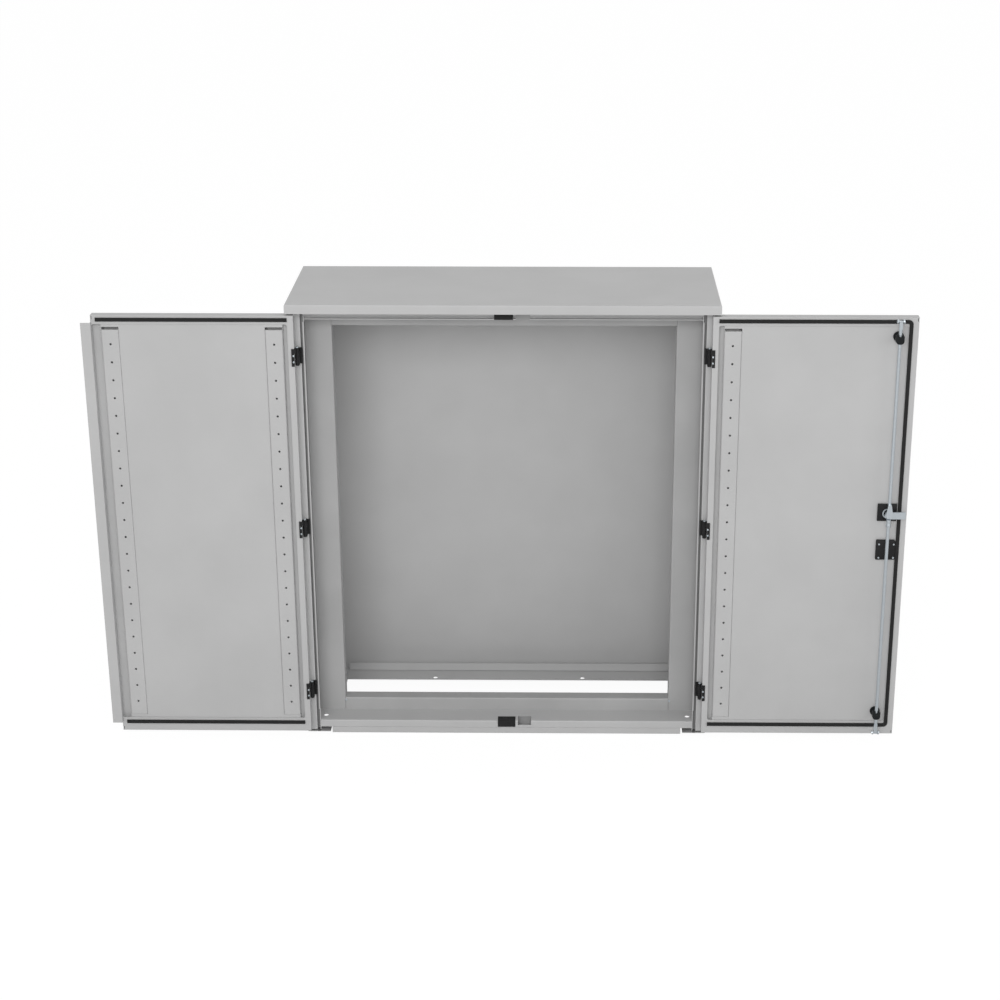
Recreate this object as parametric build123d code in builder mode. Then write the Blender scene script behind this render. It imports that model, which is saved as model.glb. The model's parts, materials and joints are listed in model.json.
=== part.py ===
from build123d import *
import math
import os

# Outdoor electrical cabinet in folded sheet steel, shown with both doors swung right back.
# Millimetres. X runs to the right, Y runs from the front to the back, Z is up.
# The origin is on the floor, under the middle of the base strip's foot.

# Overall sizes
height = 1273.5
body_width = 1134
roof_depth = 415
roof_overhang = 8.5
body_back = 406.5
sheet = 2
bend_radius = 2.5

# Places behind the roof's front face
frame_face = 35
post_face = 105
door_skin_back = 29
door_depth = 26
pin_depth = 14

# Roof
roof_skirt = 25
roof_edge_radius = 4

# Front frame: a flat strip, a gutter and a sealing lip run round the door opening
strip_width = 28
gutter_width = 10
gutter_depth = 12
header_flange = 26
header_height = 49
front_foot_gap = 11.5
back_fold = 26
foot_flange_front = 43
foot_flange_back = 120
foot_flange_reach = 64

# Floor
floor_height = 40.5
floor_flange = 21
floor_side_margin = 87
floor_opening_front = 150
floor_opening_back = 302
anchor_hole_diameter = 14
anchor_hole_inset = 50
anchor_hole_depth = 68
cable_tie_hole_x = 219
cable_tie_hole_depth = 315
base_strip_inset = 70
base_strip_height = 19
base_strip_foot = 40
rear_rail_depth = 363
rear_rail_height = 25

# Inner frame that carries the equipment
post_width = 101
post_return = 40
cross_height = 37
cross_top_clearance = 45

# Hinges
pin_inset = 20
hinge_gap = 6.5
lowest_hinge = 100
highest_hinge = 139.5
hinge_post_width = 10
hinge_block_height = 36
hinge_foot_width = 6
hinge_foot_thickness = 2.5
hinge_plate_reach = 7.5
hinge_plate_thickness = 2.5
hinge_web = 4.5
hinge_leaf_depth = 3
hinge_foot_rise = 8
hinge_edge_radius = 1.5
pin_diameter = 5
pin_running = 0.05
knuckle_diameter = 10
knuckle_height = 12
knuckle_clearance = 0.3
pin_cap_diameter = 8
pin_cap_height = 3

# Doors, as they stand when they are open
door_top_clearance = 5.5
door_bottom_height = 22.5
doors_meet_x = -3
door_gap = 5
door_lip_hinge = 16
door_lip_top = 24
door_lip_bottom = 40
door_lip_free = 27
door_corner_radius = 12
relief_width = 4
relief_height = 9
left_lip_width = 25
left_lip_standoff = 9
left_lip_top_inset = 18.5
left_lip_bottom_inset = 28
gasket_width = 10
gasket_thickness = 4
gasket_edge_radius = 1.2
gasket_from_top = 6.5
gasket_from_bottom = 22.5
gasket_from_free = 15.5
left_gasket_from_free = 13

# Perforated rails on the doors
rail_width = 46
rail_height = 24
rail_above_door_bottom = 51
rail_below_door_top = 39.5
rail_pitch = 50
rail_first_hole = 40
rail_hole_diameter = 6
right_rail_inset = 53.5
left_rail_hinge_inset = 51.9
left_rail_free_inset = 49.2

# Lock on the right door
rod_inset = 52.5
rod_depth = -23.5
rod_diameter = 9
rod_clearance = 0.3
rod_below_door_top = 2
rod_above_door_bottom = 15
rod_throw = 15
hub_height = 691.5
upper_rod_to_hub = 28
lower_rod_to_hub = 8
cam_thickness = 4
cam_radius = 9.5
cam_rod_gap = 3
tongue_reach = 47
tongue_height = 20
spindle_diameter = 12
spindle_engagement = 6
spindle_end_gap = 0.5
fork_top = 37
fork_wide = 8
fork_bottom = -2
fork_width = 19
fork_thickness = 3
fork_gap = 1
lock_case_left = 31
lock_case_right = 24
lock_case_above = 32
lock_case_below = 17
lock_case_front = -8
knuckle_rod_diameter = 12
knuckle_rod_height = 21
backplate_size = 58
backplate_thickness = 3
backplate_offset = 5
backplate_below_hub = 115
guide_radius = 13
guide_boss_front = -12
guide_boss_back = 6
guide_stem_diameter = 16
guide_block_width = 22
guide_block_height = 21
guide_block_front = -30
guide_below_door_top = 52
guide_above_door_bottom = 70.5
guide_offset = 4.5
guide_rise = 5
guide_corner_radius = 5
head_width = 10
head_front = -28.5
head_back = -20
head_gap = 2
head_edge_radius = 1.5
roller_diameter = 11
roller_length = 4
roller_tilt = 15
roller_axle_diameter = 4
roller_spacing = 17
notch_width = 38
notch_clearance = 5
handle_width = 40
handle_height = 160
handle_base = 6
handle_grip_width = 22
handle_grip_depth = 12

# Pads where the doors meet
pad_width = 50
pad_x = 1
pad_thickness = 1
pad_floor_depth = 25

front_y = -frame_face - base_strip_foot / 2
half_body = body_width / 2
roof_width = body_width + 2 * roof_overhang
inner_half = half_body - sheet
top_z = height - sheet
header_bottom = height - header_height
opening_half = half_body - strip_width - gutter_width
door_top = height - roof_skirt - door_top_clearance
door_bottom = door_bottom_height
door_height = door_top - door_bottom
door_front = door_skin_back - door_depth
door_inner = door_skin_back - sheet
pin_x = half_body - pin_inset
lower_hinge = door_bottom + lowest_hinge
upper_hinge = door_top - highest_hinge
hinge_heights = (lower_hinge, (lower_hinge + upper_hinge) / 2, upper_hinge)
right_hinge_edge = pin_x + hinge_gap
right_free_edge = 2 * pin_x - doors_meet_x - door_gap / 2
left_hinge_edge = -right_hinge_edge
left_free_edge = -2 * pin_x - doors_meet_x + door_gap / 2
rod_x = right_free_edge - rod_inset
rod_top = door_top - rod_below_door_top
rod_bottom = door_bottom + rod_above_door_bottom
guide_top_height = door_top - guide_below_door_top
guide_bottom_height = door_bottom + guide_above_door_bottom
notch_x = 2 * pin_x - rod_x
rail_bottom = door_bottom + rail_above_door_bottom
rail_length = door_top - rail_below_door_top - rail_bottom
rail_holes = int((rail_length - 2 * rail_first_hole) / rail_pitch) + 1
anchor_hole_x = half_body - anchor_hole_inset
base_strip_width = body_width - 2 * base_strip_inset
floor_opening_width = body_width - 2 * floor_side_margin
backplate_x = rod_x + backplate_offset
backplate_height = hub_height - backplate_below_hub


def y_at(depth):
    """Y of a place this far behind the roof's front face."""
    return front_y + depth


def upright(depth):
    """Sketch plane facing the front: X to the right, Z up."""
    return Plane(origin=(0, y_at(depth), 0), x_dir=(1, 0, 0), z_dir=(0, -1, 0))


def across(x):
    """Sketch plane seen from the right: Y to the back, Z up."""
    return Plane(origin=(x, 0, 0), x_dir=(0, 1, 0), z_dir=(1, 0, 0))


def save(part, name):
    part.label = name
    export_step(part, "parts/" + name + ".step")


def block(x0, x1, d0, d1, z0, z1, mode=Mode.ADD):
    """A box between two places on each axis, with Y given behind the roof's front."""
    with Locations(((x0 + x1) / 2, y_at((d0 + d1) / 2), (z0 + z1) / 2)):
        Box(x1 - x0, d1 - d0, z1 - z0, mode=mode)


def upright_bar(x, depth, z0, z1, diameter, mode=Mode.ADD):
    """A round bar standing up."""
    with Locations((x, y_at(depth), (z0 + z1) / 2)):
        Cylinder(diameter / 2, z1 - z0, mode=mode)


os.makedirs("parts", exist_ok=True)

# Roof: a shallow folded pan with its skirt hanging over the walls
with BuildPart() as roof:
    with Locations((0, y_at(roof_depth / 2), height - roof_skirt / 2)):
        Box(roof_width, roof_depth, roof_skirt)
    top_edges = roof.faces().sort_by(Axis.Z)[-1].edges()
    fillet(top_edges, roof_edge_radius)
    offset(amount=-sheet, openings=roof.faces().sort_by(Axis.Z)[0])
save(roof.part, "roof")

# Back panel between the side walls, with a fold at each side
with BuildPart() as back_panel:
    with BuildSketch(Plane.XY):
        with BuildLine():
            FilletPolyline(
                (-inner_half + sheet / 2, y_at(body_back - back_fold)),
                (-inner_half + sheet / 2, y_at(body_back - sheet / 2)),
                (inner_half - sheet / 2, y_at(body_back - sheet / 2)),
                (inner_half - sheet / 2, y_at(body_back - back_fold)),
                radius=bend_radius,
            )
        trace(line_width=sheet)
    extrude(amount=top_z)
save(back_panel.part, "back_panel")


def side_wall(side):
    """A side wall with its front folded into the strip, the gutter and the sealing lip."""
    mid = sheet / 2
    strip_end = half_body - strip_width
    with BuildPart() as wall:
        with BuildSketch(Plane.XY):
            with BuildLine():
                FilletPolyline(
                    (side * (half_body - mid), y_at(body_back)),
                    (side * (half_body - mid), y_at(frame_face + mid)),
                    (side * (strip_end + mid), y_at(frame_face + mid)),
                    (side * (strip_end + mid), y_at(frame_face + gutter_depth)),
                    (side * (opening_half + mid), y_at(frame_face + gutter_depth)),
                    (side * (opening_half + mid), y_at(frame_face)),
                    radius=bend_radius,
                )
            trace(line_width=sheet)
        extrude(amount=top_z)
        x_near, x_far = sorted((side * (opening_half - 1), side * (half_body + 1)))
        block(x_near, x_far, 0, post_face - post_return, -1, front_foot_gap, mode=Mode.SUBTRACT)
        foot_a, foot_b = sorted((side * (half_body - foot_flange_reach), side * half_body))
        block(foot_a, foot_b, foot_flange_front, foot_flange_back, 0, sheet)
    return wall.part


save(side_wall(-1), "side_wall_left")
save(side_wall(1), "side_wall_right")

# Header over the doors, with the same strip, gutter and lip, and a notch for the lock rod
with BuildPart() as front_header:
    strip_z = header_bottom + gutter_width
    with BuildSketch(across(-opening_half)):
        with BuildLine():
            FilletPolyline(
                (y_at(frame_face + header_flange), top_z - sheet / 2),
                (y_at(frame_face + sheet / 2), top_z - sheet / 2),
                (y_at(frame_face + sheet / 2), strip_z + sheet / 2),
                (y_at(frame_face + gutter_depth), strip_z + sheet / 2),
                (y_at(frame_face + gutter_depth), header_bottom + sheet / 2),
                (y_at(frame_face), header_bottom + sheet / 2),
                radius=bend_radius,
            )
        trace(line_width=sheet)
    extrude(amount=2 * opening_half)
    notch_top = rod_top + roller_diameter / 2 + notch_clearance
    block(
        notch_x - notch_width / 2, notch_x + notch_width / 2,
        frame_face - 1, frame_face + header_flange + 1,
        header_bottom - 1, notch_top, mode=Mode.SUBTRACT,
    )
save(front_header.part, "front_header")

# Floor plate with a turned-down front flange, a cable opening and fixing holes
with BuildPart() as floor_plate:
    with BuildSketch(across(-inner_half)):
        with BuildLine():
            FilletPolyline(
                (y_at(frame_face + sheet / 2), floor_height - floor_flange),
                (y_at(frame_face + sheet / 2), floor_height - sheet / 2),
                (y_at(body_back - back_fold - sheet), floor_height - sheet / 2),
                radius=bend_radius,
            )
        trace(line_width=sheet)
    extrude(amount=2 * inner_half)
    block(
        -floor_opening_width / 2, floor_opening_width / 2,
        floor_opening_front, floor_opening_back,
        0, height / 2, mode=Mode.SUBTRACT,
    )
    for side in (-1, 1):
        with Locations((side * anchor_hole_x, y_at(anchor_hole_depth), floor_height - sheet / 2)):
            Cylinder(anchor_hole_diameter / 2, 3 * sheet, mode=Mode.SUBTRACT)
        with Locations((side * cable_tie_hole_x, y_at(cable_tie_hole_depth), floor_height - sheet / 2)):
            Cylinder(anchor_hole_diameter / 2, 3 * sheet, mode=Mode.SUBTRACT)
        corner_a, corner_b = sorted((side * opening_half, side * (half_body + 1)))
        block(
            corner_a, corner_b,
            frame_face - 1, frame_face + gutter_depth + sheet,
            0, floor_height + 1, mode=Mode.SUBTRACT,
        )
    block(
        notch_x - notch_width / 2, notch_x + notch_width / 2,
        frame_face - 1, 2 * pin_depth - rod_depth + rod_diameter + notch_clearance,
        rod_bottom - roller_diameter / 2 - notch_clearance, floor_height + 1, mode=Mode.SUBTRACT,
    )
save(floor_plate.part, "floor_plate")

# Base strip under the floor's front edge, with a foot and a stay up to the floor at each end
with BuildPart() as base_strip:
    with BuildSketch(across(-base_strip_width / 2)):
        with BuildLine():
            FilletPolyline(
                (y_at(frame_face + sheet / 2), base_strip_height),
                (y_at(frame_face + sheet / 2), sheet / 2),
                (y_at(frame_face + base_strip_foot), sheet / 2),
                (y_at(frame_face + base_strip_foot), floor_height - sheet),
                radius=bend_radius,
            )
        trace(line_width=sheet)
    extrude(amount=base_strip_width)
save(base_strip.part, "base_strip")

# Rear rail: an angle standing on the floor plate behind the cable opening
with BuildPart() as floor_rear_rail:
    with BuildSketch(across(-floor_opening_width / 2)):
        with BuildLine():
            FilletPolyline(
                (y_at(rear_rail_depth - sheet), floor_height + rear_rail_height),
                (y_at(rear_rail_depth - sheet), floor_height + sheet / 2),
                (y_at(body_back - back_fold - sheet), floor_height + sheet / 2),
                radius=bend_radius,
            )
        trace(line_width=sheet)
    extrude(amount=floor_opening_width)
save(floor_rear_rail.part, "floor_rear_rail")


def inner_post(side):
    """A folded post of the inner frame, from the side wall to its rear return."""
    mid = sheet / 2
    with BuildPart() as post:
        with BuildSketch(Plane.XY.offset(floor_height)):
            with BuildLine():
                FilletPolyline(
                    (side * (inner_half - mid), y_at(post_face + post_return)),
                    (side * (inner_half - mid), y_at(post_face + mid)),
                    (side * (inner_half - post_width + mid), y_at(post_face + mid)),
                    (side * (inner_half - post_width + mid), y_at(post_face + post_return)),
                    radius=bend_radius,
                )
            trace(line_width=sheet)
        extrude(amount=top_z - cross_top_clearance - floor_height)
    return post.part


save(inner_post(-1), "inner_post_left")
save(inner_post(1), "inner_post_right")


def crosspiece(bottom):
    """A channel between the inner posts, its open side turned down."""
    mid = sheet / 2
    cross_half = inner_half - post_width
    with BuildPart() as channel:
        with BuildSketch(across(-cross_half)):
            with BuildLine():
                FilletPolyline(
                    (y_at(post_face + mid), bottom),
                    (y_at(post_face + mid), bottom + cross_height - mid),
                    (y_at(post_face + post_return - mid), bottom + cross_height - mid),
                    (y_at(post_face + post_return - mid), bottom),
                    radius=bend_radius,
                )
            trace(line_width=sheet)
        extrude(amount=2 * cross_half)
    return channel.part


save(crosspiece(floor_height), "inner_crosspiece_bottom")
save(crosspiece(top_z - cross_top_clearance - cross_height), "inner_crosspiece_top")

# Pads on the frame where the two doors meet
with BuildPart() as meeting_pad_top:
    block(
        pad_x - pad_width / 2, pad_x + pad_width / 2,
        frame_face - pad_thickness, frame_face,
        header_bottom, height - roof_skirt,
    )
save(meeting_pad_top.part, "meeting_pad_top")

with BuildPart() as meeting_pad_bottom:
    left = pad_x - pad_width / 2
    right = pad_x + pad_width / 2
    block(
        left, right, frame_face - pad_thickness, frame_face,
        floor_height - floor_flange + sheet, floor_height + pad_thickness,
    )
    block(
        left, right, frame_face, frame_face + pad_floor_depth,
        floor_height, floor_height + pad_thickness,
    )
save(meeting_pad_bottom.part, "meeting_pad_bottom")


def hinge_blocks(side):
    """The three cabinet halves of one side's hinges: a rounded post and a taller foot over the gutter."""
    post_a = side * pin_x - hinge_post_width / 2
    post_b = side * pin_x + hinge_post_width / 2
    inner = side * (pin_x - hinge_post_width / 2 - hinge_foot_width)
    foot_a, foot_b = sorted((inner, side * pin_x))
    with BuildPart() as blocks:
        for z in hinge_heights:
            top = z + hinge_block_height
            block(
                foot_a, foot_b, frame_face - hinge_foot_thickness, frame_face,
                z, top + hinge_foot_rise,
            )
        foot_edges = blocks.edges().filter_by(Axis.Z).group_by(Axis.Y)[0]
        fillet(foot_edges, hinge_edge_radius)
        for z in hinge_heights:
            top = z + hinge_block_height
            block(post_a, post_b, pin_depth, frame_face, z, top)
            upright_bar(side * pin_x, pin_depth, z, top, hinge_post_width)
        for z in hinge_heights:
            top = z + hinge_block_height
            upright_bar(
                side * pin_x, pin_depth, top - knuckle_height, top + 1, pin_diameter,
                mode=Mode.SUBTRACT,
            )
    return blocks.part


def hinge_pins(side):
    """The three pins of one side, each with a cap over the door's knuckle."""
    with BuildPart() as pins:
        for z in hinge_heights:
            top = z + hinge_block_height
            cap_z = top + knuckle_clearance * 2 + knuckle_height
            upright_bar(side * pin_x, pin_depth, top - knuckle_height, cap_z + 1, pin_diameter)
            upright_bar(side * pin_x, pin_depth, cap_z, cap_z + pin_cap_height, pin_cap_diameter)
        cap_edges = [
            e for e in pins.edges().filter_by(GeomType.CIRCLE)
            if abs(e.radius - pin_cap_diameter / 2) < 0.01
        ]
        fillet(cap_edges, 0.8)
    return pins.part


def hinge_knuckles(side):
    """The three door halves of one side: a ring round the pin and a plate screwed to the door."""
    plate_front = door_front - hinge_plate_thickness
    web_a, web_b = sorted((side * (right_hinge_edge - hinge_web), side * right_hinge_edge))
    plate_a, plate_b = sorted((side * right_hinge_edge, side * (right_hinge_edge + hinge_plate_reach)))
    with BuildPart() as knuckles:
        for z in hinge_heights:
            bottom = z + hinge_block_height + knuckle_clearance
            top = bottom + knuckle_height
            upright_bar(side * pin_x, pin_depth, bottom, top, knuckle_diameter)
            leaf_a, leaf_b = sorted((side * pin_x, side * right_hinge_edge))
            block(
                leaf_a, leaf_b, pin_depth - hinge_leaf_depth, pin_depth + hinge_leaf_depth,
                bottom, top,
            )
            block(web_a, web_b, plate_front, pin_depth, bottom, top)
            block(plate_a, plate_b, plate_front, door_front, z, top)
            bore = pin_diameter + 2 * pin_running
            upright_bar(side * pin_x, pin_depth, bottom - 1, top + 1, bore, mode=Mode.SUBTRACT)
    return knuckles.part


for name, side in (("left", -1), ("right", 1)):
    save(hinge_blocks(side), "hinge_blocks_" + name)
    save(hinge_pins(side), "hinge_pins_" + name)
    save(hinge_knuckles(side), "door_" + name + "_knuckles")


def door_pan(x0, x1, lip_x0, lip_x1, free_side, returned):
    """A pan of folded sheet: skin at the back, flanges all round and a returned lip in front."""
    with BuildPart() as pan:
        block(x0, x1, door_front, door_skin_back, door_bottom, door_top)
        corners = pan.edges().filter_by(Axis.Z) + pan.edges().filter_by(Axis.X)
        fillet(corners.group_by(Axis.Y)[-1], bend_radius)
        block(
            x0 + sheet, x1 - sheet, door_front + sheet, door_inner,
            door_bottom + sheet, door_top - sheet, mode=Mode.SUBTRACT,
        )
        with BuildSketch(upright(door_front + sheet)):
            window_x0 = x0 + lip_x0
            window_x1 = x1 - lip_x1
            window_z0 = door_bottom + door_lip_bottom
            window_z1 = door_top - door_lip_top
            with Locations(((window_x0 + window_x1) / 2, (window_z0 + window_z1) / 2)):
                RectangleRounded(
                    window_x1 - window_x0, window_z1 - window_z0, door_corner_radius / 2,
                )
        extrude(amount=2 * sheet, mode=Mode.SUBTRACT)
        free_x = x1 if free_side > 0 else x0
        relief_a, relief_b = sorted((free_x - free_side * relief_width, free_x + free_side))
        for z in (door_bottom + sheet, door_top - sheet - relief_height):
            block(relief_a, relief_b, door_front - 1, door_front + sheet, z, z + relief_height,
                  mode=Mode.SUBTRACT)
        if returned:
            lip_front = door_front - left_lip_standoff
            lip_z0 = door_bottom + left_lip_bottom_inset
            lip_z1 = door_top - left_lip_top_inset
            block(x0, x0 + sheet, lip_front, door_inner, lip_z0, lip_z1)
            block(x0 - left_lip_width, x0 + sheet, lip_front - sheet, lip_front, lip_z0, lip_z1)
    return pan.part


save(
    door_pan(right_hinge_edge, right_free_edge, door_lip_hinge, door_lip_free, 1, False),
    "door_right_panel",
)
save(
    door_pan(left_free_edge, left_hinge_edge, sheet, door_lip_hinge, -1, True),
    "door_left_panel",
)

# Gasket of the right door: a U lying on the lip along the top, the free side and the bottom
with BuildPart() as door_right_gasket:
    hinge_x = right_hinge_edge + door_lip_hinge
    free_x = right_free_edge - gasket_from_free
    ring_z0 = door_bottom + gasket_from_bottom
    ring_z1 = door_top - gasket_from_top
    with BuildSketch(upright(door_front)):
        with BuildSketch() as outline:
            with Locations(((hinge_x + free_x) / 2, (ring_z0 + ring_z1) / 2)):
                Rectangle(free_x - hinge_x, ring_z1 - ring_z0)
            fillet(outline.vertices().group_by(Axis.X)[-1], door_corner_radius)
        with BuildSketch(mode=Mode.SUBTRACT) as window:
            inner_x = free_x - gasket_width
            with Locations(((hinge_x - 1 + inner_x) / 2, (ring_z0 + ring_z1) / 2)):
                Rectangle(inner_x - hinge_x + 1, ring_z1 - ring_z0 - 2 * gasket_width)
            fillet(window.vertices().group_by(Axis.X)[-1], door_corner_radius / 3)
    extrude(amount=gasket_thickness)
    fillet(door_right_gasket.faces().sort_by(Axis.Y)[0].edges(), gasket_edge_radius)
save(door_right_gasket.part, "door_right_gasket")

# Gasket of the left door: one run along the top and one along the bottom
with BuildPart() as door_left_gasket:
    for z in (door_bottom + gasket_from_bottom, door_top - gasket_from_top - gasket_width):
        block(
            left_free_edge + left_gasket_from_free, left_hinge_edge - door_lip_hinge,
            door_front - gasket_thickness, door_front, z, z + gasket_width,
        )
    fillet(door_left_gasket.edges().group_by(Axis.Y)[0], gasket_edge_radius)
save(door_left_gasket.part, "door_left_gasket")


def perforated_rail(x):
    """A channel welded to the door's skin, with a row of holes along its face."""
    mid = sheet / 2
    face = door_inner - rail_height
    with BuildPart() as rail:
        with BuildSketch(Plane.XY.offset(rail_bottom)):
            with BuildLine():
                FilletPolyline(
                    (x - rail_width / 2 + mid, y_at(door_inner)),
                    (x - rail_width / 2 + mid, y_at(face + mid)),
                    (x + rail_width / 2 - mid, y_at(face + mid)),
                    (x + rail_width / 2 - mid, y_at(door_inner)),
                    radius=bend_radius,
                )
            trace(line_width=sheet)
        extrude(amount=rail_length)
        first = rail_bottom + rail_length - rail_first_hole
        middle = first - rail_pitch * (rail_holes - 1) / 2
        with BuildSketch(upright(face + sheet + 1)):
            with Locations((x, middle)):
                with GridLocations(1, rail_pitch, 1, rail_holes):
                    Circle(rail_hole_diameter / 2)
        extrude(amount=sheet + 2, mode=Mode.SUBTRACT)
    return rail.part


save(perforated_rail(right_hinge_edge + right_rail_inset), "door_right_rail")
save(perforated_rail(left_hinge_edge - left_rail_hinge_inset), "door_left_rail_hinge_side")
save(perforated_rail(left_free_edge + left_rail_free_inset), "door_left_rail_free_side")

# Lock case on the right door, with a bore for the cam's spindle
cam_back = rod_depth + rod_diameter / 2 + cam_rod_gap + cam_thickness
with BuildPart() as lock_case:
    block(
        rod_x - lock_case_left, rod_x + lock_case_right, lock_case_front, door_inner,
        hub_height - lock_case_below, hub_height + lock_case_above,
    )
    fillet(lock_case.faces().sort_by(Axis.Y)[0].edges(), 1)
    with BuildSketch(upright(lock_case_front + spindle_engagement)):
        with Locations((rod_x, hub_height)):
            Circle(spindle_diameter / 2 + pin_running)
    extrude(amount=spindle_engagement + 1, mode=Mode.SUBTRACT)
save(lock_case.part, "lock_case")

# Lock cam: a hub with the tongue that reaches behind the other door's lip
with BuildPart() as lock_cam:
    with BuildSketch(upright(cam_back)):
        with Locations((rod_x, hub_height)):
            Circle(cam_radius)
        with Locations((rod_x + tongue_reach / 2, hub_height)):
            Rectangle(tongue_reach, tongue_height)
    extrude(amount=cam_thickness)
    fillet(lock_cam.edges().filter_by(Axis.Y).group_by(Axis.X)[-1], 2)
    spindle_end = lock_case_front + spindle_engagement - spindle_end_gap
    with BuildSketch(upright(spindle_end)):
        with Locations((rod_x, hub_height)):
            Circle(spindle_diameter / 2)
    extrude(amount=spindle_end - cam_back)
save(lock_cam.part, "lock_cam")


def lock_rod(guide_z, end_z, hub_gap, direction):
    """A lock rod with a square head outside the guide and two stub axles for the rollers."""
    hub_end = hub_height + direction * hub_gap
    head_start = guide_z + direction * (guide_block_height / 2 + rod_throw + head_gap)
    axle_z = end_z - direction * roller_diameter / 4
    with BuildPart() as rod:
        h0, h1 = sorted((head_start, end_z))
        block(rod_x - head_width / 2, rod_x + head_width / 2, head_front, head_back, h0, h1)
        fillet(rod.edges().filter_by(Axis.Z), head_edge_radius)
        z0, z1 = sorted((hub_end, end_z))
        upright_bar(rod_x, rod_depth, z0, z1, rod_diameter)
        for side in (-1, 1):
            turn = 90 - side * direction * roller_tilt
            with Locations((rod_x + side * roller_spacing / 4, y_at(rod_depth), axle_z)):
                Cylinder(
                    roller_axle_diameter / 2, roller_spacing / 2 + roller_length + 1,
                    rotation=(0, turn, 0),
                )
        if direction < 0:
            upright_bar(rod_x, rod_depth, hub_end - knuckle_rod_height, hub_end, knuckle_rod_diameter)
        else:
            fork_back = rod_depth - knuckle_rod_diameter / 2 - fork_gap
            with BuildSketch(upright(fork_back)):
                with BuildLine():
                    Polyline(
                        (rod_x - rod_diameter / 2, hub_height + fork_top),
                        (rod_x + rod_diameter / 2, hub_height + fork_top),
                        (rod_x + fork_width / 2, hub_height + fork_wide),
                        (rod_x + fork_width / 3, hub_height + fork_bottom),
                        (rod_x - fork_width / 3, hub_height + fork_bottom),
                        (rod_x - fork_width / 2, hub_height + fork_wide),
                        close=True,
                    )
                make_face()
            extrude(amount=fork_thickness)
            block(
                rod_x - rod_diameter / 2, rod_x + rod_diameter / 2, fork_back, rod_depth,
                hub_end, hub_height + fork_top,
            )
    return rod.part


def rod_rollers(end_z, direction):
    """The two rollers at a rod's end, one each side, leaning apart."""
    axle_z = end_z - direction * roller_diameter / 4
    with BuildPart() as rollers:
        for side in (-1, 1):
            turn = 90 - side * direction * roller_tilt
            rise = roller_spacing / 4 * math.tan(math.radians(roller_tilt))
            centre_x = rod_x + side * roller_spacing / 2
            centre_z = axle_z + direction * rise
            with Locations((centre_x, y_at(rod_depth), centre_z)):
                Cylinder(roller_diameter / 2, roller_length, rotation=(0, turn, 0))
                Cylinder(
                    roller_axle_diameter / 2, roller_length + 1, rotation=(0, turn, 0),
                    mode=Mode.SUBTRACT,
                )
    return rollers.part


def rod_guide(guide_z):
    """A round boss on a stem from the door's skin, with a block that the rod runs through."""
    boss_x = rod_x - guide_offset
    boss_z = guide_z + guide_rise
    with BuildPart() as guide:
        with BuildSketch(upright(door_inner)):
            with Locations((boss_x, boss_z)):
                Circle(guide_stem_diameter / 2)
        extrude(amount=door_inner - guide_boss_back)
        with BuildSketch(upright(guide_boss_back)):
            with Locations((boss_x, boss_z)):
                Circle(guide_radius)
        extrude(amount=guide_boss_back - guide_boss_front)
        with BuildSketch(upright(guide_boss_front)):
            with Locations((rod_x, guide_z)):
                RectangleRounded(guide_block_width, guide_block_height, guide_corner_radius)
        extrude(amount=guide_boss_front - guide_block_front)
        upright_bar(
            rod_x, rod_depth, guide_z - guide_block_height, guide_z + guide_block_height,
            rod_diameter + 2 * rod_clearance, mode=Mode.SUBTRACT,
        )
    return guide.part


save(lock_rod(guide_top_height, rod_top, upper_rod_to_hub, 1), "lock_rod_upper")
save(lock_rod(guide_bottom_height, rod_bottom, lower_rod_to_hub, -1), "lock_rod_lower")
save(rod_rollers(rod_top, 1), "rod_rollers_upper")
save(rod_rollers(rod_bottom, -1), "rod_rollers_lower")
save(rod_guide(guide_top_height), "rod_guide_upper")
save(rod_guide(guide_bottom_height), "rod_guide_lower")

# Plate behind the outside handle's lower fixing
with BuildPart() as handle_backplate:
    with BuildSketch(upright(door_inner)):
        with Locations((backplate_x, backplate_height)):
            RectangleRounded(backplate_size, backplate_size, 5)
    extrude(amount=backplate_thickness)
save(handle_backplate.part, "handle_backplate")

# Outside handle: a dished plate with a grip, on the door's outer face
with BuildPart() as outside_handle:
    handle_z = (hub_height + backplate_height) / 2
    with BuildSketch(upright(door_skin_back)):
        with Locations((rod_x, handle_z)):
            RectangleRounded(handle_width, handle_height, handle_width / 4)
    extrude(amount=-handle_base)
    with BuildSketch(upright(door_skin_back + handle_base)):
        with Locations((rod_x, handle_z)):
            SlotOverall(handle_height - handle_width / 2, handle_grip_width, rotation=90)
    extrude(amount=-handle_grip_depth)
    fillet(outside_handle.faces().sort_by(Axis.Y)[-1].edges(), 3)
save(outside_handle.part, "outside_handle")
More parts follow.
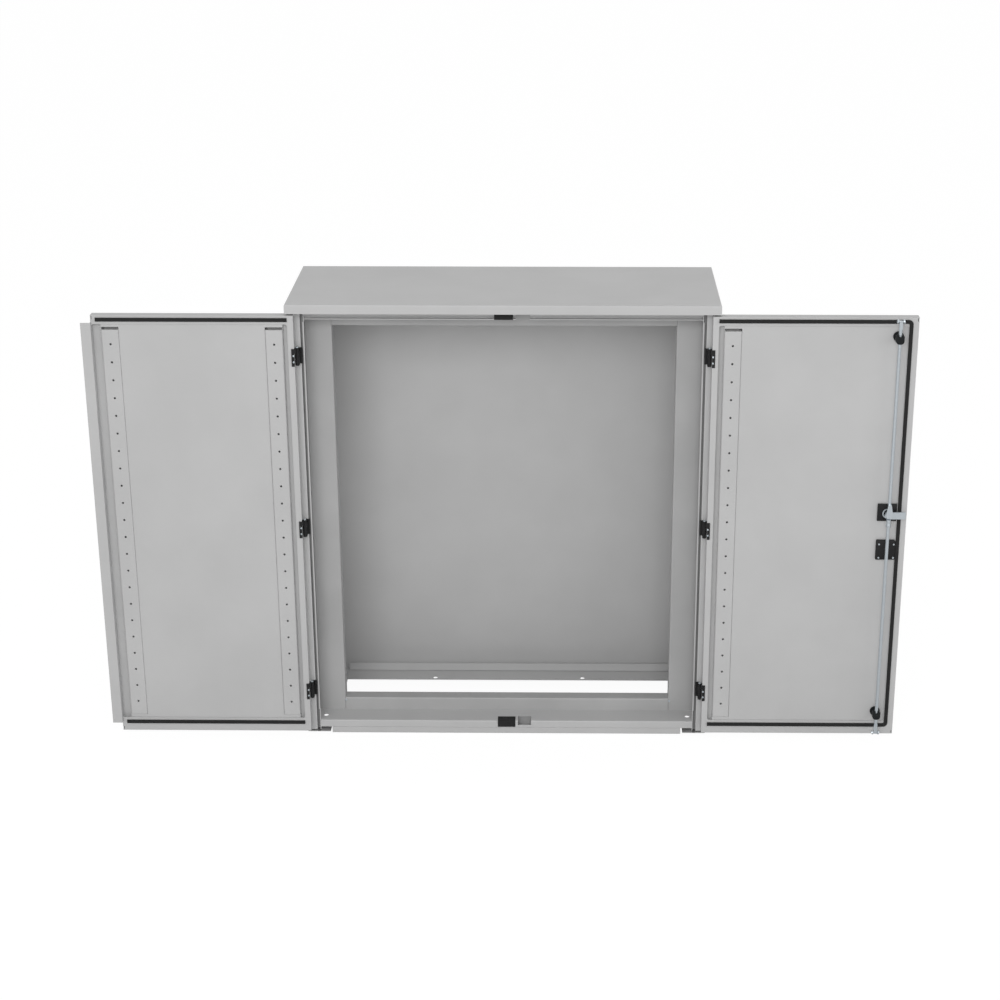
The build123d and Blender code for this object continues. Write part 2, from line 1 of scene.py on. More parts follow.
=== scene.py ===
import bmesh
import bpy
import json
import math
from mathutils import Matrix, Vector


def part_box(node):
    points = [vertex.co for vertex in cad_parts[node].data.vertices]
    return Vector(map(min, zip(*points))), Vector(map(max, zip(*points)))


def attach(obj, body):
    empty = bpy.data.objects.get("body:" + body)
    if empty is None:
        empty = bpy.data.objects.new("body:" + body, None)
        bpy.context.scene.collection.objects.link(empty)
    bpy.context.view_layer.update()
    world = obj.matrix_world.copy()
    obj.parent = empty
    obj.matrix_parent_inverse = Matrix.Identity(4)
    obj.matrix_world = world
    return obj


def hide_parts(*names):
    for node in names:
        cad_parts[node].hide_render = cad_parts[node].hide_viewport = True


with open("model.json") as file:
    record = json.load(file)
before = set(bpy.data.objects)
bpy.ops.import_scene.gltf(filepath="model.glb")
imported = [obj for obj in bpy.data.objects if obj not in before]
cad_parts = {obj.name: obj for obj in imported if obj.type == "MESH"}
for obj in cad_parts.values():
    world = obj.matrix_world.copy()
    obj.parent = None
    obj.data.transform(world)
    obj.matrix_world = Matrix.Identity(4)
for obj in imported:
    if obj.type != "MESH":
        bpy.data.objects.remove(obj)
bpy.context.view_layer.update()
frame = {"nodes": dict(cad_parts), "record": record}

mm = 0.001
roofLow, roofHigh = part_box("roof")
frontY = roofLow.y  # the roof's front face, from which all depths are given


def depthY(depthMm):
    return frontY + depthMm * mm


def hexColour(code):
    channels = [int(code[i:i + 2], 16) / 255 for i in (1, 3, 5)]
    linear = [c / 12.92 if c <= 0.04045 else ((c + 0.055) / 1.055) ** 2.4 for c in channels]
    return (*linear, 1.0)


def addNode(tree, kind, settings=None, links=None):
    # a key is the name or number of an input, or else the name of a setting
    node = tree.nodes.new(kind)
    for key, value in (settings or {}).items():
        if isinstance(key, int) or key in node.inputs:
            node.inputs[key].default_value = value
        else:
            setattr(node, key, value)
    for key, socket in (links or {}).items():
        tree.links.new(socket, node.inputs[key])
    return node


def newMaterial(name):
    material = bpy.data.materials.new(name)
    material.use_nodes = True
    material.node_tree.nodes.clear()
    return material, material.node_tree


# Powder-coated sheet steel: an even light grey with a fine orange peel and soft, broad mottling
powderCoat = {
    "colour": "#BABABA",
    "shade": "#B5B5B5",
    "peelSize": 1.6,      # mm between bumps, drawn a little coarse so that it shows close up
    "mottleSize": 180.0,  # mm
    "contrast": (0.3, 0.7),  # the middle of each noise's range is spread over all of it
    "roughness": 0.46,
    "duller": 0.04,
    "glossier": 0.03,
    "specular": 0.4,
    "bump": 0.02,
    "bumpDepth": 0.4,     # mm
    # the welded inner frame is painted a little darker than the shell, as painted shade for its place deep
    # inside the cabinet
    "frameColour": "#ADADAD",
    "frameShade": "#A4A4A4",
    # the gutters beside the sealing lips get painted shade for the shadow deep in each groove, in a band
    # either side of the centre (mm)
    "grime": "#828282",
    "gutterMiddle": 535.5,
    "gutterHalfWidth": 3.8,
    "gutterDepth": 36.6,
}


# paints shade into the gutters: a darker grey in the band where the deep groove's shadow falls
def addPaintedGutterShade(tree, place, coat):
    axes = addNode(tree, "ShaderNodeSeparateXYZ", links={"Vector": place})
    across = addNode(tree, "ShaderNodeMath", {"operation": "ABSOLUTE"}, {0: axes.outputs["X"]})
    inBand = addNode(
        tree, "ShaderNodeMath",
        {"operation": "COMPARE", 1: powderCoat["gutterMiddle"] * mm, 2: powderCoat["gutterHalfWidth"] * mm},
        {0: across.outputs["Value"]})
    behind = addNode(tree, "ShaderNodeMath",
                     {"operation": "GREATER_THAN", 1: depthY(powderCoat["gutterDepth"])},
                     {0: axes.outputs["Y"]})
    both = addNode(tree, "ShaderNodeMath", {"operation": "MULTIPLY"},
                   {0: inBand.outputs["Value"], 1: behind.outputs["Value"]})
    # painted shade: inside the band the coat is mixed to the darker grey
    grime = addNode(tree, "ShaderNodeMix", {"data_type": "RGBA", 7: hexColour(powderCoat["grime"])},
                    {0: both.outputs["Value"], 6: coat})
    return grime.outputs[2]


def makePowderCoat(name, colour, shade, gutter=False):
    material, tree = newMaterial(name)
    place = addNode(tree, "ShaderNodeTexCoord").outputs["Object"]
    peel = addNode(tree, "ShaderNodeTexNoise", {"Scale": 1 / (powderCoat["peelSize"] * mm), "Detail": 2.0},
                   {"Vector": place})
    mottle = addNode(tree, "ShaderNodeTexNoise",
                     {"Scale": 1 / (powderCoat["mottleSize"] * mm), "Detail": 3.0}, {"Vector": place})
    low, high = powderCoat["contrast"]
    soften = addNode(tree, "ShaderNodeMapRange", {"From Min": low, "From Max": high},
                     {"Value": mottle.outputs["Fac"]})
    mix = addNode(tree, "ShaderNodeMix", {"data_type": "RGBA", 6: hexColour(shade), 7: hexColour(colour)},
                  {0: soften.outputs["Result"]})
    coat = addPaintedGutterShade(tree, place, mix.outputs[2]) if gutter else mix.outputs[2]
    gloss = addNode(
        tree, "ShaderNodeMapRange",
        {"From Min": low, "From Max": high, "To Min": powderCoat["roughness"] - powderCoat["glossier"],
         "To Max": powderCoat["roughness"] + powderCoat["duller"]},
        {"Value": peel.outputs["Fac"]})
    bump = addNode(tree, "ShaderNodeBump",
                   {"Strength": powderCoat["bump"], "Distance": powderCoat["bumpDepth"] * mm},
                   {"Height": peel.outputs["Fac"]})
    shader = addNode(
        tree, "ShaderNodeBsdfPrincipled", {"Specular IOR Level": powderCoat["specular"]},
        {"Base Color": coat, "Roughness": gloss.outputs["Result"], "Normal": bump.outputs["Normal"]})
    addNode(tree, "ShaderNodeOutputMaterial", links={"Surface": shader.outputs[0]})
    return material


# Bright zinc plate: a cool, fairly smooth metal with a faint crystalline cloudiness
zincPlate = {"colour": "#C9CFD3", "cloud": "#B4BCC2", "cloudSize": 6.0, "roughness": 0.32, "duller": 0.08,
             "glossier": 0.06, "metallic": 0.85}


def makeZincPlate():
    material, tree = newMaterial("brightZincPlate")
    place = addNode(tree, "ShaderNodeTexCoord").outputs["Object"]
    cloud = addNode(tree, "ShaderNodeTexNoise", {"Scale": 1 / (zincPlate["cloudSize"] * mm), "Detail": 4.0},
                    {"Vector": place})
    mix = addNode(
        tree, "ShaderNodeMix",
        {"data_type": "RGBA", 6: hexColour(zincPlate["cloud"]), 7: hexColour(zincPlate["colour"])},
        {0: cloud.outputs["Fac"]})
    gloss = addNode(
        tree, "ShaderNodeMapRange",
        {"To Min": zincPlate["roughness"] - zincPlate["glossier"],
         "To Max": zincPlate["roughness"] + zincPlate["duller"]},
        {"Value": cloud.outputs["Fac"]})
    shader = addNode(tree, "ShaderNodeBsdfPrincipled", {"Metallic": zincPlate["metallic"]},
                     {"Base Color": mix.outputs[2], "Roughness": gloss.outputs["Result"]})
    addNode(tree, "ShaderNodeOutputMaterial", links={"Surface": shader.outputs[0]})
    return material


# Black parts: die-cast zinc under black powder coat, moulded nylon, and foamed sealing strip
blackFinishes = {
    "blackCastZinc": {"colour": "#131314", "roughness": 0.42, "shine": 0.3, "grain": 0.9, "bump": 0.10},
    "blackNylon": {"colour": "#16191A", "roughness": 0.55, "shine": 0.2, "grain": 0.6, "bump": 0.06},
    "foamedRubber": {"colour": "#191919", "roughness": 0.85, "shine": 0.4, "grain": 0.7, "bump": 0.35},
}
blackTexture = {"duller": 0.08, "glossier": 0.06, "bumpDepth": 0.3}


def makeBlackFinish(name):
    values = blackFinishes[name]
    material, tree = newMaterial(name)
    place = addNode(tree, "ShaderNodeTexCoord").outputs["Object"]
    grain = addNode(tree, "ShaderNodeTexNoise", {"Scale": 1 / (values["grain"] * mm), "Detail": 3.0},
                    {"Vector": place})
    gloss = addNode(
        tree, "ShaderNodeMapRange",
        {"To Min": values["roughness"] - blackTexture["glossier"],
         "To Max": values["roughness"] + blackTexture["duller"]},
        {"Value": grain.outputs["Fac"]})
    bump = addNode(tree, "ShaderNodeBump",
                   {"Strength": values["bump"], "Distance": blackTexture["bumpDepth"] * mm},
                   {"Height": grain.outputs["Fac"]})
    shader = addNode(tree, "ShaderNodeBsdfPrincipled",
                     {"Base Color": hexColour(values["colour"]), "Specular IOR Level": values["shine"]},
                     {"Roughness": gloss.outputs["Result"], "Normal": bump.outputs["Normal"]})
    addNode(tree, "ShaderNodeOutputMaterial", links={"Surface": shader.outputs[0]})
    return material


coatedSteel = makePowderCoat("powderCoatedSteel", powderCoat["colour"], powderCoat["shade"])
# painted shade: the inner frame's coat is darker to stand in for the shade inside the cabinet
shadedInnerFrameSteel = makePowderCoat(
    "innerFrameCoatInPaintedShade", powderCoat["frameColour"], powderCoat["frameShade"])
# the side walls carry painted shade in their gutters
shadedGutterSteel = makePowderCoat("gutterCoatInPaintedShade", powderCoat["colour"], powderCoat["shade"], gutter=True)
finishes = {
    "painted_steel": coatedSteel,
    "zinc_plated_steel": makeZincPlate(),
    "black_zinc": makeBlackFinish("blackCastZinc"),
    "black_nylon": makeBlackFinish("blackNylon"),
    "black_rubber": makeBlackFinish("foamedRubber"),
}
ownFinish = {
    "inner_post_left": shadedInnerFrameSteel,
    "inner_post_right": shadedInnerFrameSteel,
    "inner_crosspiece_bottom": shadedInnerFrameSteel,
    "inner_crosspiece_top": shadedInnerFrameSteel,
    "side_wall_left": shadedGutterSteel,
    "side_wall_right": shadedGutterSteel,
}
slotOf = {part["node"]: part["material_slot"] for part in frame["record"]["subparts"]}
for nodeName, nodeObject in frame["nodes"].items():
    nodeObject.data.materials.clear()
    nodeObject.data.materials.append(ownFinish.get(nodeName, finishes[slotOf[nodeName]]))
print("finishes on", len(frame["nodes"]), "nodes")


# The shapes below are started, worked on in edit mode and finished. Their sizes are in mm.
def facesFront(centre, normal):
    return normal.y < -0.99


def facesBack(centre, normal):
    return normal.y > 0.99


def facesEither(centre, normal):
    return abs(normal.y) > 0.99


def pickFaces(test):
    bpy.ops.mesh.select_mode(type="FACE")
    bpy.ops.mesh.select_all(action="DESELECT")
    mesh = bmesh.from_edit_mesh(bpy.context.object.data)
    for face in mesh.faces:
        face.select_set(test(face.calc_center_median(), face.normal))
    bmesh.update_edit_mesh(bpy.context.object.data)


def pickPoints(test):
    bpy.ops.mesh.select_mode(type="VERT")
    bpy.ops.mesh.select_all(action="DESELECT")
    mesh = bmesh.from_edit_mesh(bpy.context.object.data)
    for point in mesh.verts:
        point.select_set(test(point.co))
    mesh.select_flush(True)
    bmesh.update_edit_mesh(bpy.context.object.data)


def bevelPicked(radius, segments=2):
    bpy.ops.mesh.bevel(offset=radius * mm, segments=segments, affect="EDGES")


def bevelRim(radius):
    # rounds the outline of the picked faces
    bpy.ops.mesh.region_to_loop()
    bevelPicked(radius)


def insetPicked(width):
    bpy.ops.mesh.inset(thickness=width * mm)


def extrudePicked(distance):
    # backwards, or forwards where distance is below 0
    bpy.ops.mesh.extrude_region_move(TRANSFORM_OT_translate={"value": (0, distance * mm, 0)})


def applyPlace():
    bpy.ops.object.transform_apply(location=True, rotation=True, scale=True)


def startDisc(radius, thickness, sides, middle=None):
    # a disc that faces the front, with its middle given (side to side, depth, height) or its back at y = 0
    bpy.ops.object.select_all(action="DESELECT")
    location = (0, -thickness * mm / 2, 0)
    if middle:
        location = (middle[0] * mm, depthY(middle[1]), middle[2] * mm)
    bpy.ops.mesh.primitive_cylinder_add(
        vertices=sides, radius=radius * mm, depth=thickness * mm, location=location,
        rotation=(math.pi / 2, 0, 0))
    applyPlace()
    bpy.ops.object.mode_set(mode="EDIT")


def startBlock(x0, x1, d0, d1, z0, z1):
    bpy.ops.object.select_all(action="DESELECT")
    bpy.ops.mesh.primitive_cube_add(size=1)
    block = bpy.context.object
    block.scale = ((x1 - x0) * mm, (d1 - d0) * mm, (z1 - z0) * mm)
    block.location = ((x0 + x1) / 2 * mm, depthY((d0 + d1) / 2), (z0 + z1) / 2 * mm)
    applyPlace()
    bpy.ops.object.mode_set(mode="EDIT")


def roundUprights(radius, segments, test=lambda x, z: True):
    # rounds those edges of a block that run from front to back
    bpy.ops.mesh.select_mode(type="EDGE")
    bpy.ops.mesh.select_all(action="DESELECT")
    mesh = bmesh.from_edit_mesh(bpy.context.object.data)
    for edge in mesh.edges:
        first, last = (point.co for point in edge.verts)
        along = abs(first.y - last.y) > 0.9 * (first - last).length
        edge.select_set(along and test(first.x / mm, first.z / mm))
    bmesh.update_edit_mesh(bpy.context.object.data)
    bevelPicked(radius, segments)


def roundFront(radius, front):
    # rounds the rim of the front face
    pickFaces(lambda centre, normal: facesFront(centre, normal) and abs(centre.y - depthY(front)) < 1e-5)
    bevelRim(radius)


def finishShape(name, material, smoothAngle=30):
    bpy.ops.mesh.select_all(action="SELECT")
    bpy.ops.mesh.normals_make_consistent(inside=False)
    bpy.ops.object.mode_set(mode="OBJECT")
    bpy.ops.object.shade_smooth_by_angle(angle=math.radians(smoothAngle))
    piece = bpy.context.object
    piece.name = name
    piece.data.materials.clear()
    piece.data.materials.append(material)
    return piece


def makeActive(piece):
    bpy.ops.object.select_all(action="DESELECT")
    piece.select_set(True)
    bpy.context.view_layer.objects.active = piece


def combine(piece, other, operation):
    change = piece.modifiers.new("combine", "BOOLEAN")
    change.operation = operation
    change.object = other
    change.solver = "EXACT"
    makeActive(piece)
    bpy.ops.object.modifier_apply(modifier=change.name)
    bpy.data.objects.remove(other)


def placeCopies(master, spots, tilt=0):
    # spots: side to side, depth, height, turn (degrees), body
    for number, (across, depth, height, turn, body) in enumerate(spots):
        makeActive(master)
        bpy.ops.object.duplicate(linked=False)
        copy = bpy.context.object
        copy.rotation_euler = (math.radians(tilt), math.radians(turn), 0)
        copy.location = (across * mm, depthY(depth), height * mm)
        applyPlace()
        copy.name = f"{master.name}{number + 1}"
        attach(copy, body)
    print(master.name, len(spots))
    bpy.data.objects.remove(master)


# Pan-head screws with a six-lobed socket
screwHead = {"radius": 2.6, "rise": 1.7, "sides": 12, "round": 0.7, "rim": 0.9, "lobe": 0.74, "socket": 1.0}


def makeScrewHead(name):
    front = -screwHead["rise"] * mm
    startDisc(screwHead["radius"], screwHead["rise"], screwHead["sides"])
    pickFaces(facesFront)
    bevelPicked(screwHead["round"])
    pickFaces(facesFront)
    insetPicked(screwHead["rim"] / 2)
    # every other point moves in, which leaves six lobes
    ends = sorted(
        (point for point in bmesh.from_edit_mesh(bpy.context.object.data).verts if point.select),
        key=lambda point: math.atan2(point.co.z, point.co.x))
    inner = {tuple(round(value, 7) for value in point.co) for point in ends[::2]}
    pickPoints(lambda place: tuple(round(value, 7) for value in place) in inner)
    bpy.ops.transform.resize(value=(screwHead["lobe"], 1, screwHead["lobe"]), center_override=(0, front, 0))
    pickFaces(lambda centre, normal: facesFront(centre, normal) and math.hypot(centre.x, centre.z) < 1e-5)
    extrudePicked(screwHead["socket"])
    return finishShape(name, finishes["zinc_plated_steel"], 40)


# On the hinges' door plates, each turned another way
hingeScrews = {"across": 555.4, "depth": 0.5, "blocks": (122.5, 613.0, 1103.5), "rises": (12.4, 29.6),
               "turnPerBlock": 17, "turnPerRise": 23}
spots = []
for side, body in ((-1, "door_left"), (1, "door_right")):
    for step, block in enumerate(hingeScrews["blocks"]):
        for rise in hingeScrews["rises"]:
            turn = hingeScrews["turnPerBlock"] * step + hingeScrews["turnPerRise"] * rise
            spots.append((side * hingeScrews["across"], hingeScrews["depth"], block + rise, turn, body))
placeCopies(makeScrewHead("hingeScrew"), spots)

# On the clamp plate: side to side, height, turn
plateScrews = ((1024.1, 602.0, 10), (1064.2, 601.6, 48), (1024.5, 562.4, 31), (1064.2, 562.3, 5))
placeCopies(makeScrewHead("plateScrew"),
            [(across, 0, height, turn, "door_right") for across, height, turn in plateScrews])

# In the rear corners of the floor
floorScrews = [(-484, 333, 40.5, 20, "cabinet"), (479, 333, 40.5, 50, "cabinet")]
placeCopies(makeScrewHead("floorScrew"), floorScrews, tilt=-90)


# Blind rivets low on the inner posts
rivet = {"radius": 3.4, "rise": 1.3, "sides": 16, "round": 1.0, "mandrel": 0.95, "dent": 0.5,
         "spots": [(-463, 105, 70, 0, "cabinet"), (467, 105, 70, 40, "cabinet")]}


def makeRivet(name):
    startDisc(rivet["radius"], rivet["rise"], rivet["sides"])
    pickFaces(facesFront)
    bevelPicked(rivet["round"])
    pickFaces(facesFront)
    insetPicked(rivet["radius"] - rivet["round"] - rivet["mandrel"])
    extrudePicked(rivet["dent"])
    return finishShape(name, finishes["zinc_plated_steel"], 40)


placeCopies(makeRivet("floorRivet"), rivet["spots"])


# Lock rod nut: a hexagon nut below the cam, chamfered at both ends, with a flat towards the front
rodNut = {"radius": 7.2, "height": 9, "sides": 6, "chamfer": 0.8, "turn": 30,
          "spot": (1042, -23.5, 662.5, 0, "rod_lower")}


def makeRodNut(name):
    startDisc(rodNut["radius"], rodNut["height"], rodNut["sides"])
    pickFaces(facesEither)
    bevelRim(rodNut["chamfer"])
    bpy.ops.mesh.select_all(action="SELECT")
    bpy.ops.transform.rotate(value=math.radians(rodNut["turn"]), orient_axis="Y", center_override=(0, 0, 0))
    return finishShape(name, finishes["zinc_plated_steel"])


placeCopies(makeRodNut("rodNut"), [rodNut["spot"]], tilt=-90)


# Inner liners of the doors: flat sheets a little behind the folded lips, cut out round the rails.
# The strips between a rail and the nearest lip lie deeper, where a door has such a pocket.
liner = {"depth": 5.6, "sheet": 1.5, "under": 6, "railGap": 0.4, "overRail": 7, "underRail": 1.5,
         "pocket": 10.4}
doorLiners = {
    # margins: how far the panel's lips reach in from its left, right, bottom and top edges
    "rightDoorLiner": {"panel": "door_right_panel", "body": "door_right", "margins": (16, 27, 40, 24),
                       "rails": ("door_right_rail",), "leftPocket": True, "rightPocket": False},
    "leftDoorLiner": {"panel": "door_left_panel", "body": "door_left", "margins": (33.2, 16, 40, 24),
                      "rails": ("door_left_rail_free_side", "door_left_rail_hinge_side"),
                      "leftPocket": True, "rightPocket": True},
}


def boxMm(node):
    low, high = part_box(node)
    return low.x / mm, high.x / mm, low.z / mm, high.z / mm


def cutAcross(place, direction):
    bpy.ops.mesh.select_all(action="SELECT")
    bpy.ops.mesh.bisect(plane_co=[place * mm * part for part in direction], plane_no=direction)


def makeLiner(name, door):
    x0, x1, z0, z1 = boxMm(door["panel"])
    left, right, bottom, top = door["margins"]
    x0, x1 = x0 + left - liner["under"], x1 - right + liner["under"]
    z0, z1 = z0 + bottom - liner["under"], z1 - top + liner["under"]
    bpy.ops.object.select_all(action="DESELECT")
    bpy.ops.mesh.primitive_plane_add(size=1, rotation=(math.pi / 2, 0, 0))
    bpy.ops.transform.resize(value=((x1 - x0) * mm, 1, (z1 - z0) * mm))
    bpy.context.object.location = ((x0 + x1) / 2 * mm, depthY(liner["depth"]), (z0 + z1) / 2 * mm)
    applyPlace()
    bpy.ops.object.mode_set(mode="EDIT")
    holes = []
    for rail in door["rails"]:
        railLeft, railRight, railBottom, railTop = boxMm(rail)
        hole = (railLeft - liner["railGap"], railRight + liner["railGap"],
                railBottom - liner["underRail"], railTop + liner["overRail"])
        holes.append(hole)
        for place, direction in zip(hole, ((1, 0, 0), (1, 0, 0), (0, 0, 1), (0, 0, 1))):
            cutAcross(place, direction)
    pickFaces(lambda centre, normal: any(
        hole[0] < centre.x / mm < hole[1] and hole[2] < centre.z / mm < hole[3] for hole in holes))
    bpy.ops.mesh.delete(type="FACE")
    leftmost = min(hole[0] for hole in holes)
    rightmost = max(hole[1] for hole in holes)
    pickFaces(lambda centre, normal: (door["leftPocket"] and centre.x / mm < leftmost)
              or (door["rightPocket"] and centre.x / mm > rightmost))
    extrudePicked(liner["pocket"])
    bpy.ops.mesh.select_all(action="SELECT")
    bpy.ops.mesh.dissolve_limited(angle_limit=math.radians(1))
    bpy.ops.object.mode_set(mode="OBJECT")
    solid = bpy.context.object.modifiers.new("sheet", "SOLIDIFY")
    solid.thickness = liner["sheet"] * mm
    solid.offset = -1
    bpy.ops.object.modifier_apply(modifier=solid.name)
    bpy.ops.object.mode_set(mode="EDIT")
    piece = finishShape(name, coatedSteel)
    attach(piece, door["body"])
    print(name, len(piece.data.polygons), "faces")


for name, door in doorLiners.items():
    makeLiner(name, door)


def seatPlate(name, node, plate):
    # a narrower back behind the flange reaches the liner
    pickFaces(facesBack)
    insetPicked(plate["step"])
    extrudePicked(liner["depth"] - plate["flange"])
    roundFront(plate["rim"], plate["front"])
    piece = finishShape(name, finishes["black_zinc"])
    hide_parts(node)
    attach(piece, "door_right")
    print(name)


# Lock: a flanged case on the liner
lockCase = {"x": (1014.2, 1066.8), "z": (670.2, 720.1), "front": 0, "flange": 3, "step": 3.5, "corner": 1.5,
            "rim": 0.6}


def makeLockCase():
    startBlock(*lockCase["x"], lockCase["front"], lockCase["flange"], *lockCase["z"])
    roundUprights(lockCase["corner"], 3)
    seatPlate("lockCase", "lock_case", lockCase)


makeLockCase()


# Bush for the lock's spindle
bush = {"across": 1042, "height": 691.5, "radius": 8.5, "rise": 7.5, "bore": 6.4, "boreDepth": 6.6,
        "round": 0.4, "sides": 32}


def makeBush():
    startDisc(bush["radius"], bush["rise"], bush["sides"])
    pickFaces(facesFront)
    insetPicked(bush["radius"] - bush["bore"])
    extrudePicked(bush["boreDepth"])
    pickFaces(lambda centre, normal: facesFront(centre, normal) and centre.y < -0.9 * bush["rise"] * mm)
    bevelRim(bush["round"])
    return finishShape("spindleBush", finishes["black_zinc"])


placeCopies(makeBush(), [(bush["across"], lockCase["front"], bush["height"], 0, "door_right")])


# Bright ring round the spindle's bush
rosette = {"radius": 14, "rise": 1.2, "wide": 4.2, "round": 0.4, "sides": 40, "above": 0.6}


def makeRosette():
    startDisc(rosette["radius"], rosette["rise"], rosette["sides"])
    pickFaces(facesEither)
    insetPicked(rosette["wide"])
    bpy.ops.mesh.bridge_edge_loops()
    pickFaces(facesFront)
    bevelRim(rosette["round"])
    return finishShape("lockRosette", finishes["zinc_plated_steel"])


placeCopies(makeRosette(),
            [(bush["across"], lockCase["front"], bush["height"] + rosette["above"], 0, "door_right")])


# Plate with four screws that clamps the outside handle's lower end; one corner is cut rounder
clampPlate = {"x": (1015.5, 1068.8), "z": (556.5, 615.1), "front": 0, "flange": 3, "step": 4, "corner": 3,
              "wideCorner": 7, "rim": 0.5}


def makeClampPlate():
    x0, x1 = clampPlate["x"]
    z0, z1 = clampPlate["z"]
    startBlock(x0, x1, clampPlate["front"], clampPlate["flange"], z0, z1)
    roundUprights(clampPlate["wideCorner"], 5, lambda x, z: x > x1 - 1 and z > z1 - 1)
    roundUprights(clampPlate["corner"], 4, lambda x, z: x < x0 + 1 or (x > x1 - 1 and z < z0 + 1))
    seatPlate("handleClampPlate", "handle_backplate", clampPlate)


makeClampPlate()


# Sealing lips: each side's lip is hemmed, folded back on itself towards the gutter
lipHem = {"inner": 529.0, "outer": 533.5, "front": 35.2, "back": 46.4, "bottom": 74, "top": 1217,
          "round": 1.2}


def makeLipHem(name, side):
    x0, x1 = sorted((side * lipHem["inner"], side * lipHem["outer"]))
    startBlock(x0, x1, lipHem["front"], lipHem["back"], lipHem["bottom"], lipHem["top"])
    roundFront(lipHem["round"], lipHem["front"])
    piece = finishShape(name, coatedSteel)
    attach(piece, "cabinet")
    print(name, len(piece.data.polygons), "faces")


makeLipHem("lipHemLeft", -1)
makeLipHem("lipHemRight", 1)


# Rod guides: a round foot on the liner, a neck, and a nylon block with a slotted bore for the rod.
# The block reaches further towards the middle of the door.
rodGuide = {"across": 1042, "rodDepth": -23.5, "halfWidth": 10.8, "outer": 11.2, "inner": 13, "front": -30,
            "back": -14, "corner": 8.5, "shoulder": 4, "rim": 0.8, "bore": 4.9, "boreLength": 60,
            "boreSides": 32, "slotFrom": 12.5, "slotDepth": -34, "slotCut": 20, "slotLength": 30, "foot": 14,
            "footFront": 2, "footSides": 40, "neck": 7, "neckGrip": 2}
guides = {
    "upperRodGuide": {"node": "rod_guide_upper", "height": 1191, "below": "inner", "above": "outer"},
    "lowerRodGuide": {"node": "rod_guide_lower", "height": 93, "below": "outer", "above": "inner"},
}


def boreGuide(piece, height):
    bpy.ops.object.select_all(action="DESELECT")
    bpy.ops.mesh.primitive_cylinder_add(
        vertices=rodGuide["boreSides"], radius=rodGuide["bore"] * mm, depth=rodGuide["boreLength"] * mm,
        location=(rodGuide["across"] * mm, depthY(rodGuide["rodDepth"]), height * mm))
    combine(piece, bpy.context.object, "DIFFERENCE")


def slotGuide(piece, height):
    # the slot opens the front wall from its round lower end upwards
    bottom = height + rodGuide["slotFrom"]
    startDisc(rodGuide["bore"], rodGuide["slotCut"], rodGuide["boreSides"],
              (rodGuide["across"], rodGuide["slotDepth"], bottom))
    pickPoints(lambda place: place.z > (bottom + 0.1) * mm)
    bpy.ops.transform.translate(value=(0, 0, rodGuide["slotLength"] * mm))
    bpy.ops.object.mode_set(mode="OBJECT")
    combine(piece, bpy.context.object, "DIFFERENCE")


def addGuideFoot(piece, height):
    back, front = liner["depth"], rodGuide["footFront"]
    startDisc(rodGuide["foot"], back - front, rodGuide["footSides"],
              (rodGuide["across"], (back + front) / 2, height))
    pickFaces(facesFront)
    insetPicked(rodGuide["foot"] - rodGuide["neck"])
    extrudePicked(rodGuide["back"] - rodGuide["neckGrip"] - front)
    bpy.ops.object.mode_set(mode="OBJECT")
    combine(piece, bpy.context.object, "UNION")


def makeGuide(name, guide):
    across, height = rodGuide["across"], guide["height"]
    z0, z1 = height - rodGuide[guide["below"]], height + rodGuide[guide["above"]]
    startBlock(across - rodGuide["halfWidth"], across + rodGuide["halfWidth"],
               rodGuide["front"], rodGuide["back"], z0, z1)
    roundUprights(rodGuide["corner"], 6, lambda x, z: z < z0 + 1)
    roundUprights(rodGuide["shoulder"], 4, lambda x, z: z > z1 - 1)
    roundFront(rodGuide["rim"], rodGuide["front"])
    piece = finishShape(name, finishes["black_nylon"])
    boreGuide(piece, height)
    slotGuide(piece, height)
    addGuideFoot(piece, height)
    bpy.ops.object.shade_smooth_by_angle(angle=math.radians(30))
    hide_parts(guide["node"])
    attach(piece, "door_right")
    print(name, len(piece.data.polygons), "faces")


for name, guide in guides.items():
    makeGuide(name, guide)


# Stage: a pale floor that keeps the shadow, a white surround and soft studio lamps
stage = {
    "floorSize": 40.0,
    "floorDrop": 0.5,  # mm
    "floorColour": (0.8, 0.8, 0.8, 1),
    "glow": 1.05,
    "glowShare": 0.9,  # of what the camera sees of the floor
    "surround": 0.62,
    "backdrop": 1.05,
    "lamps": {
        # name: place, aim, width, height, power
        "frontLamp": ((-0.6, -5.5, 3.4), (0, 0, 0.6), 4.0, 2.6, 150),
        "sideLamp": ((4.6, -2.6, 2.6), (0, 0, 0.7), 2.4, 2.4, 30),
    },
}


def makeFloor():
    bpy.ops.object.select_all(action="DESELECT")
    bpy.ops.mesh.primitive_plane_add(size=stage["floorSize"], location=(0, 0, -stage["floorDrop"] * mm))
    floor = bpy.context.object
    floor.name = "studioFloor"
    material, tree = newMaterial("paleFloor")
    light = addNode(tree, "ShaderNodeLightPath")
    matt = addNode(tree, "ShaderNodeBsdfDiffuse", {"Color": stage["floorColour"]})
    glow = addNode(tree, "ShaderNodeEmission", {"Color": (1, 1, 1, 1), "Strength": stage["glow"]})
    seen = addNode(tree, "ShaderNodeMath", {"operation": "MULTIPLY", 1: stage["glowShare"]},
                   {0: light.outputs["Is Camera Ray"]})
    mix = addNode(tree, "ShaderNodeMixShader",
                  links={0: seen.outputs["Value"], 1: matt.outputs[0], 2: glow.outputs[0]})
    addNode(tree, "ShaderNodeOutputMaterial", links={"Surface": mix.outputs[0]})
    floor.data.materials.append(material)


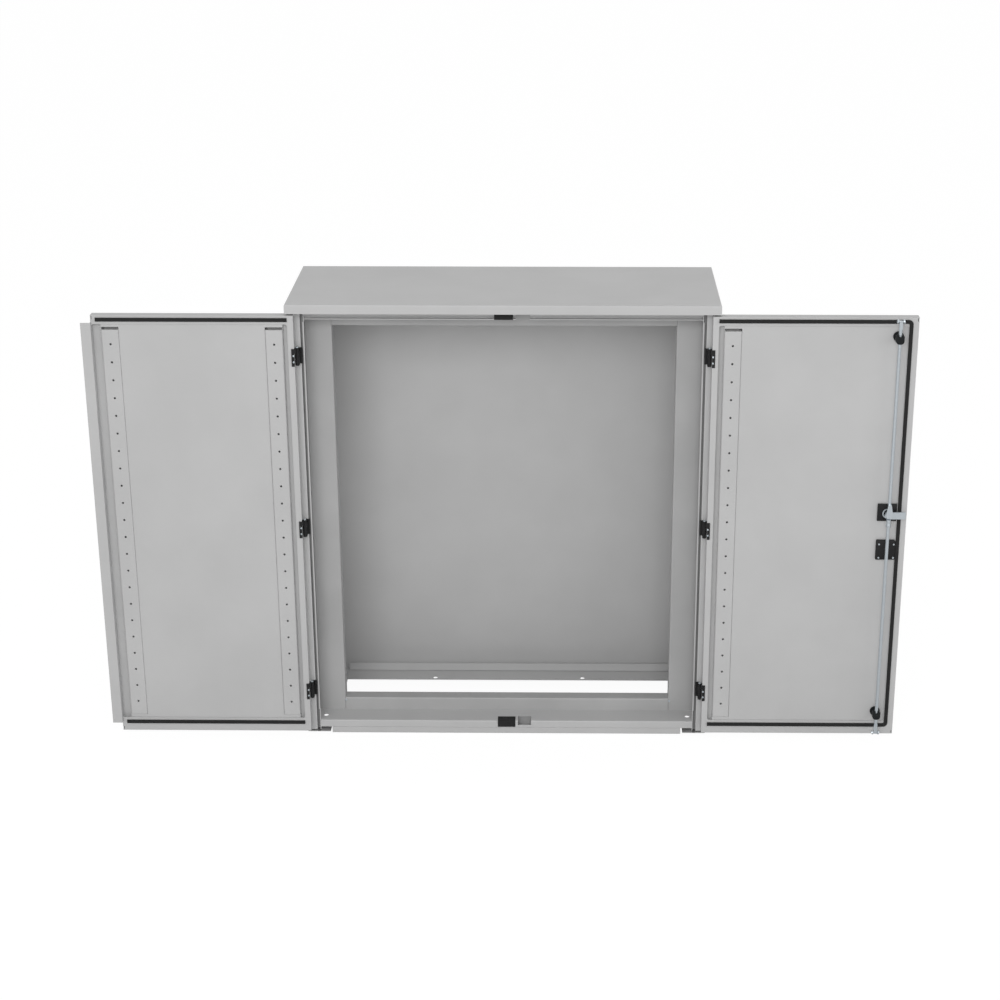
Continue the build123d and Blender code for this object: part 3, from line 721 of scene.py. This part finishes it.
def makeSurround():
    world = bpy.data.worlds.new("studioSurround")
    bpy.context.scene.world = world
    world.use_nodes = True
    tree = world.node_tree
    tree.nodes.clear()
    light = addNode(tree, "ShaderNodeLightPath")
    soft = addNode(tree, "ShaderNodeBackground", {"Color": (1, 1, 1, 1), "Strength": stage["surround"]})
    white = addNode(tree, "ShaderNodeBackground", {"Color": (1, 1, 1, 1), "Strength": stage["backdrop"]})
    mirror = addNode(tree, "ShaderNodeMath", {"operation": "MAXIMUM"},
                     {0: light.outputs["Is Glossy Ray"], 1: light.outputs["Is Transmission Ray"]})
    seen = addNode(tree, "ShaderNodeMath", {"operation": "MAXIMUM"},
                   {0: light.outputs["Is Camera Ray"], 1: mirror.outputs["Value"]})
    mix = addNode(tree, "ShaderNodeMixShader",
                  links={0: seen.outputs["Value"], 1: soft.outputs[0], 2: white.outputs[0]})
    addNode(tree, "ShaderNodeOutputWorld", links={"Surface": mix.outputs[0]})


def makeLamps():
    for name, (place, aim, width, height, power) in stage["lamps"].items():
        lamp = bpy.data.lights.new(name, "AREA")
        lamp.shape = "RECTANGLE"
        lamp.size = width
        lamp.size_y = height
        lamp.energy = power
        lampObject = bpy.data.objects.new(name, lamp)
        bpy.context.scene.collection.objects.link(lampObject)
        lampObject.location = place
        toX, toY, toZ = (aim[i] - place[i] for i in range(3))
        tilt = math.atan2(math.hypot(toX, toY), -toZ)
        lampObject.rotation_euler = (tilt, 0, math.atan2(toY, toX) - math.pi / 2)


# Camera: where the photograph was taken from, worked out from the rail holes and the roof's corners
cameraSettings = {
    "place": (0.1646, -5.0942, 1.3982),  # from the roof's front edge and top
    "lookDown": 20.405,
    "turn": 0.597,
    "sensor": 36,
    "lens": 72.27,
    "shift": (-0.04518, -0.01677),
}


def makeCamera():
    camera = bpy.data.cameras.new("photoCamera")
    cameraObject = bpy.data.objects.new("photoCamera", camera)
    bpy.context.scene.collection.objects.link(cameraObject)
    x, y, z = cameraSettings["place"]
    cameraObject.location = (x, frontY + y, roofHigh.z + z)
    cameraObject.rotation_euler = (
        math.radians(90 - cameraSettings["lookDown"]), 0, math.radians(cameraSettings["turn"]))
    camera.sensor_width = cameraSettings["sensor"]
    camera.lens = cameraSettings["lens"]
    camera.shift_x, camera.shift_y = cameraSettings["shift"]
    camera.dof.use_dof = False
    bpy.context.scene.camera = cameraObject


makeFloor()
makeSurround()
makeLamps()
makeCamera()
bpy.context.scene.view_settings.view_transform = "Standard"
print("stage, lamps and camera")
